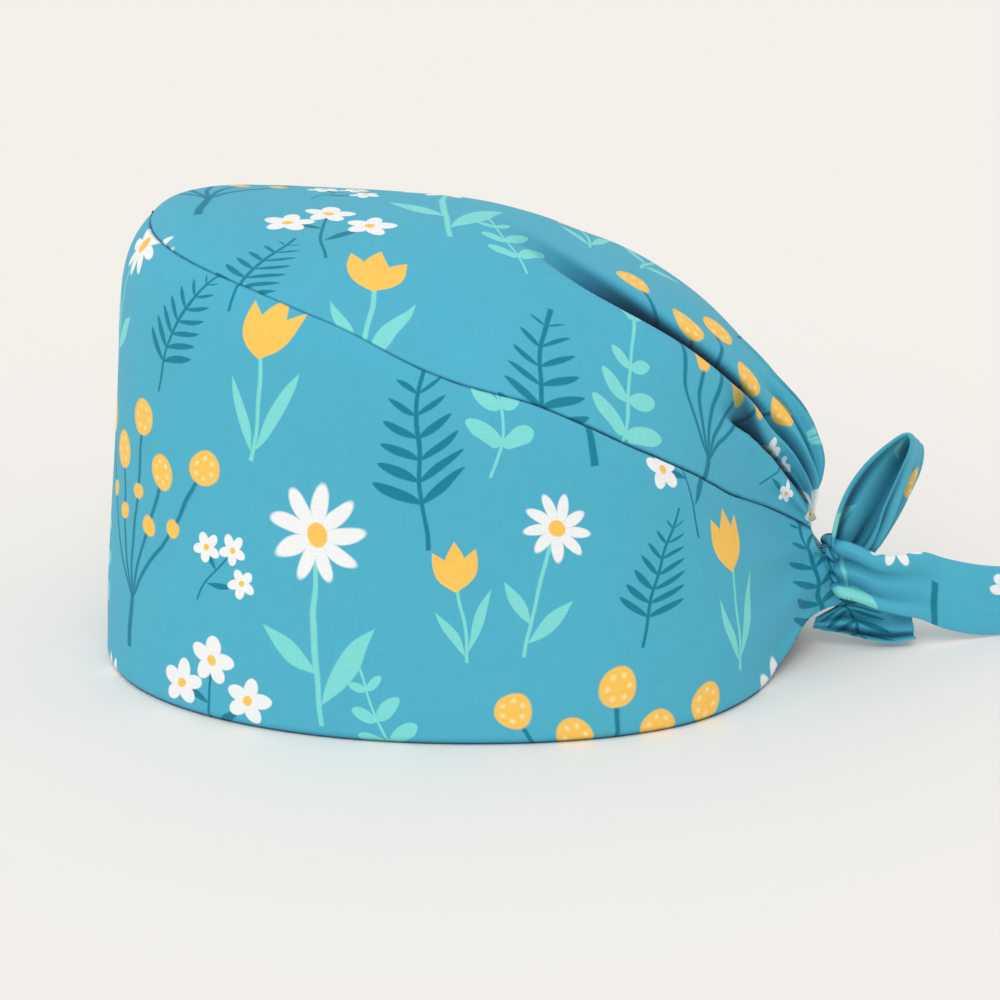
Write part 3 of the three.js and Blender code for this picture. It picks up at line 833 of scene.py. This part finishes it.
# %% The side band
def band_relief(points, turn, up):
    """The slow hollows of a standing wall of cloth, and the folds that the knot pulls into it."""
    x, y, z = (points[..., k] for k in range(3))
    free = smoothstep(z, 0, 25 * MM) * (1 - up**6)
    slow = np.sin(x / 0.034 + y / 0.051 + z / 0.029) + 0.8 * np.sin(x / 0.022 - z / 0.037 + 1.7)
    slow = slow + 0.6 * np.sin(y / 0.019 + z / 0.024 + 0.4)
    round_way = np.abs(turn)
    pulled = smoothstep(round_way, 140, 172) * (1 - 0.6 * smoothstep(round_way, 174, 180))
    folds = np.cos(2 * np.pi * 2.6 * up + 0.9 + 0.02 * (180 - round_way)) * (1 - up**8)
    return HOLLOW_DEPTH * slow * free + PULLED_FOLD * folds * pulled


def make_band():
    turn = 180 * np.sin(np.linspace(-1, 1, 521) * np.pi / 2)
    up = np.concatenate([np.linspace(0, 0.03, 9)[:-1], np.linspace(0.03, 0.955, 52)[:-1],
                         np.linspace(0.955, 1, 18)])
    turn, up = np.meshgrid(turn, up)
    smooth = band_point(turn, up)
    normals = grid_normals(smooth)
    relief, painted_seam_shade = seam_relief(smooth)
    relief = relief + band_relief(smooth, turn, up)
    rise = smooth[..., 2] - smooth[:1, :, 2]
    hem_roll = -HEM_ROLL * bell(rise, 0, 1.5 * MM)
    normals[..., 2] *= smoothstep(rise, 0, 15 * MM)
    inward = smoothstep(-turn, 122, 156) * (1 - smoothstep(-turn, 158, 170))
    turned_under = -TURNED_UNDER * (1 - smoothstep(rise, 0, 26 * MM)) * inward
    outer = smooth + normals * (relief + hem_roll + turned_under)[..., None]
    drawn_in = smoothstep(np.abs(turn), 171, 180) * (1 - smoothstep(up, 0.55, 0.8))
    outer = outer + drawn_in[..., None] * np.array([KNOT_GAP, 0, 0])
    outer[..., 1] *= 1 - 0.45 * drawn_in
    on_table = 1 - smoothstep(np.abs(turn), 148, 166)
    painted_seam_shade = painted_seam_shade * (1 - 0.5 * smoothstep(np.abs(turn), 145, 165))
    # Painted shade: the seam's thin dark line, and a painted contact shadow along the hem's foot where it
    # stands on the table.
    painted_shade = np.maximum(painted_seam_shade, 0.9 * bell(rise, 0, 0.8 * MM) * on_table)
    round_run = run_along(smooth[0, :, :2])
    round_run = round_run - round_run[len(round_run) // 2]
    climb = run_along(smooth) + smooth[:1, :, 2]
    uv = np.stack([np.broadcast_to(-round_run, climb.shape), climb], -1)
    print("band:", round(float(round_run[-1] - round_run[0]), 3), "m long")
    return cloth_sheet("band_cloth", outer, normals, uv, painted_shade)


band_cloth = make_band()

# %% [markdown]
# The crown's grid has a row for each section from forehead to nape. Rows crowd towards the nape and
# columns towards the folds and the seam, where the cloth turns sharply, and they are sparse on the
# smooth top, so the whole crown keeps under its budget of faces. The cloth is cut fuller towards the
# nape than the dome needs, and the gathers take that up.

# %% The crown
GATHER_FULLNESS = 38 * MM
CROWN_CUT = (20 * MM, 31 * MM)


def spaced(low, high, count, *crowds):
    """Numbers from low to high, closer together near each crowded place (middle, width, strength)."""
    x = np.linspace(low, high, 4000)
    density = np.ones_like(x)
    for middle, width, strength in crowds:
        density += strength * bell(x, middle, width)
    total = np.concatenate([[0], np.cumsum((density[1:] + density[:-1]) / 2 * np.diff(x))])
    return np.interp(np.linspace(0, total[-1], count), total, x)


def make_crown():
    turn = spaced(0, 180, 190, (0, 4, 3.0), (176, 14, 2.5))
    place = spaced(-1, 1, 252, (-1, 0.03, 4.0), (1, 0.03, 4.0), (-0.6, 0.12, 1.6), (0.6, 0.12, 0.8))
    turn, place = np.meshgrid(turn, place, indexing="ij")
    folded, painted_shade = crown_point(turn, place)
    normals = grid_normals(folded)
    normals[0] = unit(normals[2].mean(axis=0))
    relief, painted_seam_shade = seam_relief(folded)
    outer = folded + normals * relief[..., None]
    outer[0] = outer[0].mean(axis=0)
    # Painted shade of the folds, the gathers and the seam's line together.
    painted_shade = np.maximum(painted_shade, painted_seam_shade * (1 - 0.5 * smoothstep(turn, 145, 165)))
    thickness = CLOTH_THICKNESS * (1 - 0.65 * smoothstep(turn, 156, 170))[..., None]
    smooth = dome_point(turn, place)
    across = run_along(smooth, axis=1)
    half = across[:, -1:] / 2
    full = half + GATHER_FULLNESS * smoothstep(turn[:, :1], 110, 180)
    across = (across - half) / np.maximum(half, MM) * full
    along = run_along(smooth[:, smooth.shape[1] // 2])[:, None] + CROWN_CUT[0]
    uv = np.stack([np.broadcast_to(along, across.shape), across + CROWN_CUT[1]], -1)
    return cloth_sheet("crown_cloth", outer, normals, uv, painted_shade, thickness, pole=True)


crown_cloth = make_crown()

# %% [markdown]
# A tie is a flat tube of cloth. Its section is a flat oval with a fold at each edge, and where the
# knot grips it the section is pleated. The tube follows a row of stations, each with the middle of the
# tie, the way across it, its width and how strongly it is pleated, and smooth curves through
# those rows fill in the rest. The ties are cut from the same cloth, each from its own place on it.

# %% Ties as flat tubes
STRAP_WIDTH = 25 * MM
STRAP_THICKNESS = 1.5 * MM
STRAP_PLEAT = 1.2 * MM
STRAP_RIPPLE = 0.25 * MM
KNOT_DEPTH = 11 * MM
KNOT_HEIGHT = 23 * MM
KNOT_BREADTH = 15 * MM
KNOT_TILT = math.radians(17)
KNOT_PLEAT = 1.1 * MM
KNOT_INSET = 0.5 * MM
KNOT_CUT = (26 * MM, 129 * MM)
LONG_TAIL_CUT = (0, 0)
SHORT_TAIL_CUT = (45 * MM, 105 * MM)
LOOP_CUT = (120 * MM, 0)
knot_centre = np.array([cap_middle + HEM_END[0] + 1.2 * MM, 0, HEM_RISE + END_HEIGHT / 2 - 2 * MM])


def strap_tube(name, stations, cut_at, steps, spokes=48, pleat_depth=STRAP_PLEAT, seed=0.0):
    """A closed flat tube through stations with the columns x y z ax ay az width pleat."""
    share = stations["share"]
    dense = np.linspace(share[0], share[-1], steps)
    track = {key: curve_through(stations, "share", key)(dense) for key in stations if key != "share"}
    middle = np.stack([track["x"], track["y"], track["z"]], -1)
    across = unit(np.stack([track["ax"], track["ay"], track["az"]], -1))
    out = unit(np.cross(np.gradient(middle, axis=0), across))
    angle = np.linspace(0, 2 * np.pi, spokes, endpoint=False)
    flat = squared_off(np.cos(angle), 0.5)
    thick = squared_off(np.sin(angle), 0.8)
    wave = np.cos(2 * np.pi * 1.25 * flat[None] + seed + 0.5 * np.sin(5 * dense[:, None]))
    fold = pleat_depth * track["pleat"][:, None] * wave
    # Painted shade in the valleys of the pleats, as strong as the pleat is.
    painted_shade = np.clip(-wave * np.sign(thick[None]) - 0.1, 0, 1) * np.clip(track["pleat"], 0, 1)[:, None]
    ripple = STRAP_RIPPLE * np.sin(dense[:, None] * 23 + flat[None] * 2.1 + seed)
    lift = (fold + ripple + thick[None] * STRAP_THICKNESS / 2)[..., None]
    aside = (flat[None] * track["width"][:, None] / 2)[..., None]
    points = middle[:, None] + across[:, None] * aside + out[:, None] * lift
    length = run_along(middle)
    rim = np.cumsum(np.abs(np.diff(np.append(flat, flat[0])))) * STRAP_WIDTH / 2
    uv = np.stack(np.broadcast_arrays(length[:, None] + cut_at[0], rim[None] + cut_at[1]), -1)
    index = np.arange(steps * spokes).reshape(steps, spokes)
    following = np.roll(index, -1, axis=1)
    sides = np.stack([index[:-1], index[1:], following[1:], following[:-1]], -1).reshape(-1, 4)
    faces = sides.tolist() + [index[0].tolist(), index[-1, ::-1].tolist()]
    piece = mesh_object(name, points.reshape(-1, 3), faces, uv.reshape(-1, 2), painted_shade,
                        [printed_cotton], np.zeros(len(faces), np.int32))
    print(f"{name}: {length[-1]:.3f} m long")
    return piece


# %% [markdown]
# The long tail leaves the knot on its edge and lies back along the table. The short tail is bent over
# and folded. The loop climbs away from the knot, turns over at its top and comes back. In their tables
# the lengths are shares of the named sizes, and the turns are in degrees.

# %% The long tail, the short tail and the bow's loop
def along_rows(columns, rows):
    """A table with its columns, and how far along it each row lies, from 0 to 1."""
    data = table(columns, rows)
    data["share"] = np.linspace(0, 1, len(rows))
    return data


def set_stations(data, middle, across, width):
    stations = dict(share=data["share"], pleat=data["pleat"], width=width)
    stations.update(zip(("x", "y", "z"), middle.T))
    stations.update(zip(("ax", "ay", "az"), across.T))
    return stations


LONG_TAIL_LENGTH = 106.9 * MM
LONG_TAIL_ROWS = along_rows("back away lift width lean pleat", [
    (-0.02, -0.04, 0.8, 0.74, 0, 0.9), (-0.012, -0.074, 0.8, 0.78, 0, 0.8),
    (0.012, -0.084, 0.78, 0.8, 0, 0.8), (0.05, -0.084, 0.73, 0.78, -2, 0.7),
    (0.11, -0.078, 0.62, 0.76, -4, 0.5), (0.18, -0.058, 0.51, 0.82, -6, 0.3),
    (0.25, -0.03, 0.4, 0.93, -6, 0.15), (0.34, 0.005, 0.2, 0.98, -3, 0.0),
    (0.45, 0.045, 0.06, 1.0, 1, 0.0), (0.6, 0.09, 0.0, 1.0, 5, 0.0),
    (0.8, 0.11, 0.0, 1.0, 4, 0.0), (1.0, 0.08, 0.0, 1.0, -3, 0.0),
])
SHORT_TAIL_LENGTH = 33 * MM
SHORT_TAIL_ROOT = 8 * MM
SHORT_TAIL_PLEAT = 1.9 * MM
SHORT_TAIL_ROWS = along_rows("along near rise width turned dip pleat", [
    (0.0, 0.0, 0.31, 0.18, 30, 50, 0.2), (0.12, 0.0, 0.34, 0.3, 24, 54, 0.5),
    (0.32, 0.0, 0.4, 0.5, 14, 60, 1.0), (0.55, -0.02, 0.34, 0.56, 4, 62, 1.0),
    (0.78, -0.04, 0.28, 0.54, -6, 62, 1.0), (1.0, -0.06, 0.25, 0.4, -18, 60, 0.8),
])
LOOP_HEIGHT = 45 * MM
LOOP_BREADTH = 20 * MM
LOOP_LEAN = math.radians(27)
LOOP_ROOT = np.array([-1.3 * MM, 0, KNOT_HEIGHT / 2 - 4.3 * MM])
LOOP_PLEAT = 1.5 * MM
LOOP_ROWS = along_rows("rise aside width twist slant pleat", [
    (0.02, 0.08, 0.62, 46, 0.0, 1.0), (0.11, 0.09, 0.82, 54, 0.0, 1.0), (0.26, 0.07, 0.98, 56, 0.0, 1.0),
    (0.48, 0.04, 1.0, 57, 0.0, 0.9), (0.71, 0.04, 0.99, 51, 0.05, 0.7), (0.88, 0.08, 0.92, 41, 0.16, 0.4),
    (0.99, 0.2, 0.82, 33, 0.24, 0.1), (0.92, 0.34, 0.82, 28, 0.2, 0.1), (0.73, 0.44, 0.88, 26, 0.08, 0.5),
    (0.47, 0.5, 0.92, 24, 0.0, 0.9), (0.3, 0.52, 0.74, 20, 0.0, 1.0), (0.15, 0.5, 0.5, 12, 0.0, 1.0),
    (0.0, 0.42, 0.4, 5, 0.0, 1.0),
])


def make_long_tail():
    rows = LONG_TAIL_ROWS
    lean = np.radians(rows["lean"])
    across = np.stack([0 * lean, -np.sin(lean), np.cos(lean)], -1)
    width = rows["width"] * STRAP_WIDTH
    foot = np.stack([knot_centre[0] + rows["back"] * LONG_TAIL_LENGTH, rows["away"] * LONG_TAIL_LENGTH,
                     rows["lift"] * STRAP_WIDTH + 0.9 * MM * np.abs(np.sin(lean))], -1)
    stations = set_stations(rows, foot + across * width[:, None] / 2, across, width)
    return strap_tube("long_tail_cloth", stations, LONG_TAIL_CUT, steps=120)


def make_short_tail():
    rows = SHORT_TAIL_ROWS
    turned, dip = np.radians(rows["turned"]), np.radians(rows["dip"])
    across = np.stack([np.sin(turned) * np.cos(dip), np.cos(turned) * np.cos(dip), np.sin(dip)], -1)
    root = knot_centre[0] - SHORT_TAIL_ROOT
    middle = np.stack([root + rows["along"] * SHORT_TAIL_LENGTH, -rows["near"] * STRAP_WIDTH,
                       rows["rise"] * STRAP_WIDTH], -1)
    stations = set_stations(rows, middle, across, rows["width"] * STRAP_WIDTH)
    return strap_tube("short_tail_cloth", stations, SHORT_TAIL_CUT, steps=80,
                      pleat_depth=SHORT_TAIL_PLEAT, seed=2.0)


def make_loop():
    rows = LOOP_ROWS
    axis = np.array([math.sin(LOOP_LEAN), 0, math.cos(LOOP_LEAN)])
    aside = np.array([axis[2], 0, -axis[0]])
    twist = np.radians(rows["twist"])[:, None]
    across = np.sin(twist) * aside + np.cos(twist) * np.array([0, 1, 0])
    across = across - rows["slant"][:, None] * axis
    middle = (knot_centre + LOOP_ROOT + rows["rise"][:, None] * LOOP_HEIGHT * axis
              + rows["aside"][:, None] * LOOP_BREADTH * aside)
    stations = set_stations(rows, middle, across, rows["width"] * STRAP_WIDTH)
    return strap_tube("loop_cloth", stations, LOOP_CUT, steps=160, pleat_depth=LOOP_PLEAT, seed=4.0)


long_tail_cloth = make_long_tail()
short_tail_cloth = make_short_tail()
loop_cloth = make_loop()

# %% [markdown]
# The knot is a tie wound round the others, so it is a swollen ring of pleats. A round form is pressed
# into folds that run round it at a slant.

# %% The knot
def make_knot():
    rings, spokes = 90, 96
    polar = np.linspace(0, np.pi, rings)[:, None]
    angle = np.linspace(0, 2 * np.pi, spokes, endpoint=False)[None]
    swell = np.sin(polar) ** 0.45
    height = -np.cos(polar) * KNOT_HEIGHT / 2
    slant = 7.5 * (1 - np.cos(polar)) + 1.2 * np.sin(angle + 0.5) + 0.5 * np.sin(3 * angle)
    pleat = KNOT_PLEAT * (np.abs(np.sin(slant)) - 0.6) * swell
    # Painted shade in the valleys of the knot's pleats.
    painted_shade = np.broadcast_to(1 - np.abs(np.sin(slant)) ** 0.7, pleat.shape)
    lean = -height * math.tan(KNOT_TILT)
    ahead, aside = squared_off(np.cos(angle), 0.85), squared_off(np.sin(angle), 0.85)
    x = knot_centre[0] + lean + (KNOT_DEPTH / 2 - KNOT_INSET + pleat) * swell * ahead
    y = (KNOT_BREADTH / 2 - KNOT_INSET + pleat) * swell * aside
    z = np.broadcast_to(knot_centre[2] + height, x.shape)
    points = np.stack([x, y, z], -1)
    uv = np.stack(np.broadcast_arrays(angle * KNOT_BREADTH / 2 + KNOT_CUT[0], height + KNOT_CUT[1]), -1)
    index = np.arange(rings * spokes).reshape(rings, spokes)
    following = np.roll(index, -1, axis=1)
    faces = np.stack([index[:-1], following[:-1], following[1:], index[1:]], -1).reshape(-1, 4)
    piece = mesh_object("knot_cloth", points.reshape(-1, 3), faces.tolist(), uv.reshape(-1, 2), painted_shade,
                        [printed_cotton], np.zeros(len(faces), np.int32))
    merge_doubles(piece)
    return piece


knot_cloth = make_knot()

# %% [markdown]
# A few threads of the gathering stitch show between the ends of the band and the knot. Geometry Nodes
# lay them: a short line of points stands one above another, each point carries a thin tube, and a
# random turn keeps the tubes from lying quite alike.

# %% The threads between the band and the knot
def thread_tree(material):
    tree, entry, leave = new_group("gather_threads", [
        ("Count", "Int"), ("Spacing", "Float"), ("Length", "Float"), ("Radius", "Float"),
        ("Slant", "Float"), ("Place", "Vector"), ("Seed", "Int"),
    ], [("Geometry", "Geometry")], "GeometryNodeTree")

    def result(kind, inputs, **settings):
        return add_node(tree, kind, inputs, **settings).outputs[0]

    step = result("ShaderNodeCombineXYZ", {"Z": entry["Spacing"]})
    row = result("GeometryNodeMeshLine", {"Count": entry["Count"], "Start Location": entry["Place"],
                                          "Offset": step})
    reach = result("ShaderNodeCombineXYZ", {"X": entry["Length"], "Y": entry["Slant"]})
    line = result("GeometryNodeCurvePrimitiveLine", {"End": reach})
    ring = result("GeometryNodeCurvePrimitiveCircle", {"Radius": entry["Radius"], "Resolution": 8})
    tube = result("GeometryNodeCurveToMesh", {"Curve": line, "Profile Curve": ring, "Fill Caps": True})
    turn = result("FunctionNodeRandomValue", {
        0: (0, -THREAD_SWAY, -THREAD_SWAY), 1: (0, THREAD_SWAY, THREAD_SWAY), "Seed": entry["Seed"],
    }, data_type="FLOAT_VECTOR")
    laid = result("GeometryNodeInstanceOnPoints", {"Points": row, "Instance": tube, "Rotation": turn})
    real = result("GeometryNodeRealizeInstances", {"Geometry": laid})
    coloured = result("GeometryNodeSetMaterial", {"Geometry": real, "Material": material})
    tree.links.new(coloured, leave["Geometry"])
    return tree


def laid_by(tree, name, **values):
    """The plain mesh that a Geometry Nodes tree makes with the given inputs."""
    holder = add_object(name + "_maker", bpy.data.meshes.new(name + "_maker"))
    modifier = holder.modifiers.new("maker", "NODES")
    modifier.node_group = tree
    for item in tree.interface.items_tree:
        if item.in_out == "INPUT" and item.name in values:
            modifier[item.identifier] = values[item.name]
    ready = holder.evaluated_get(bpy.context.evaluated_depsgraph_get())
    mesh = bpy.data.meshes.new_from_object(ready)
    holder.modifiers.clear()
    bpy.data.objects.remove(holder)
    print(f"{name}: {len(mesh.polygons)} faces")
    return add_object(name, mesh)


def thread_material():
    """Twisted cotton thread: a noise too fine to see as spots makes it lighter and darker."""
    material, tree, shader = new_material("thread_cotton")
    place = add_node(tree, "ShaderNodeTexCoord").outputs["Object"]
    noise = add_node(tree, "ShaderNodeTexNoise", {"Vector": place, "Scale": 2400}).outputs["Fac"]
    ramp = add_node(tree, "ShaderNodeValToRGB", {"Fac": noise})
    ramp.color_ramp.elements[0].color = linear(34, 104, 124)
    ramp.color_ramp.elements[1].color = linear(92, 160, 178)
    bump = add_node(tree, "ShaderNodeBump", {"Strength": 0.4, "Distance": 0.05 * MM, "Height": noise})
    set_inputs(tree, shader, {"Base Color": ramp.outputs["Color"], "Normal": bump.outputs[0],
                              "Roughness": 0.8})
    return material


THREAD_SWAY = math.radians(9)
thread_start = knot_centre + np.array([-9.4 * MM, -6.2 * MM, 6.6 * MM])
gather_threads = laid_by(thread_tree(thread_material()), "gather_threads", Count=4, Spacing=1.0 * MM,
                         Length=4.6 * MM, Radius=0.16 * MM, Slant=1.2 * MM,
                         Place=thread_start.tolist(), Seed=3)

# %% [markdown]
# The camera stands where the photographer stood: level with the cap's side, a metre away, looking down
# by 19 degrees through a long lens.

# %% The camera
CAMERA_DROP = math.radians(19)
CAMERA_DISTANCE = 1.1
LENS = 120
aim = Vector((cap_middle + 16 * MM, 0, 51 * MM))
camera_data = bpy.data.cameras.new("camera")
camera_data.lens = LENS
camera = add_object("camera", camera_data)
back_from_aim = Vector((0, -math.cos(CAMERA_DROP), math.sin(CAMERA_DROP)))
camera.location = aim + back_from_aim * CAMERA_DISTANCE
camera.rotation_euler = back_from_aim.to_track_quat("Z", "Y").to_euler()
bpy.context.scene.camera = camera

# %% [markdown]
# The table is plain and pale. One broad sun stands high in front and to the left, and it is so wide
# that its shadows have soft edges. The pale world fills them, as the white walls of a studio would.

# %% The table and the light
HALF_TABLE = 12.0
corners = [(-HALF_TABLE, -HALF_TABLE, 0), (HALF_TABLE, -HALF_TABLE, 0),
           (HALF_TABLE, HALF_TABLE, 0), (-HALF_TABLE, HALF_TABLE, 0)]
pale_table, tree, shader = new_material("pale_table")
set_inputs(tree, shader, {"Base Color": linear(243, 240, 236), "Roughness": 0.7, "Specular IOR Level": 0.2})
table_mesh = bpy.data.meshes.new("table_top")
table_mesh.from_pydata(corners, [], [(0, 1, 2, 3)])
table_mesh.materials.append(pale_table)
table_top = add_object("table_top", table_mesh)

SUN_TOWARDS = Vector((-0.28, -0.65, 0.9))
SUN_STRENGTH = 1.2
SUN_SPREAD = math.radians(60)
WALL_COLOUR = (1.0, 0.985, 0.965, 1)
WALL_STRENGTH = 0.72
sun_data = bpy.data.lights.new("high_front_left", "SUN")
sun_data.energy = SUN_STRENGTH
sun_data.angle = SUN_SPREAD
sun = add_object("high_front_left", sun_data)
sun.rotation_euler = (-SUN_TOWARDS).to_track_quat("-Z", "Y").to_euler()
world = bpy.data.worlds.new("studio")
world.use_nodes = True
walls = world.node_tree.nodes["Background"]
set_inputs(world.node_tree, walls, {"Color": WALL_COLOUR, "Strength": WALL_STRENGTH})
bpy.context.scene.world = world
bpy.context.scene.view_settings.view_transform = "Standard"

# %% [markdown]
# Each piece of cloth now takes the place of its solid and rides on the cap's one body.


FINISHES = [
    (band_cloth, "side_band", "printed_cotton", (0.66, 0.15), "gathered"),
    (crown_cloth, "crown", "printed_cotton", (0.28, 0.27), "gathered"),
    (knot_cloth, "tie_knot", "tie_cotton", None, None),
    (loop_cloth, "bow_loop", "tie_cotton", (0.025, 0.1), "folded"),
    (long_tail_cloth, "long_tail", "tie_cotton", (0.025, 0.106), "laid"),
    (short_tail_cloth, "short_tail", "tie_cotton", (0.02, 0.033), "folded"),
]
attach(gather_threads, "root")
for piece, node, slot, flat, held in FINISHES:
    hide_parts(node)
    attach(piece, "root")
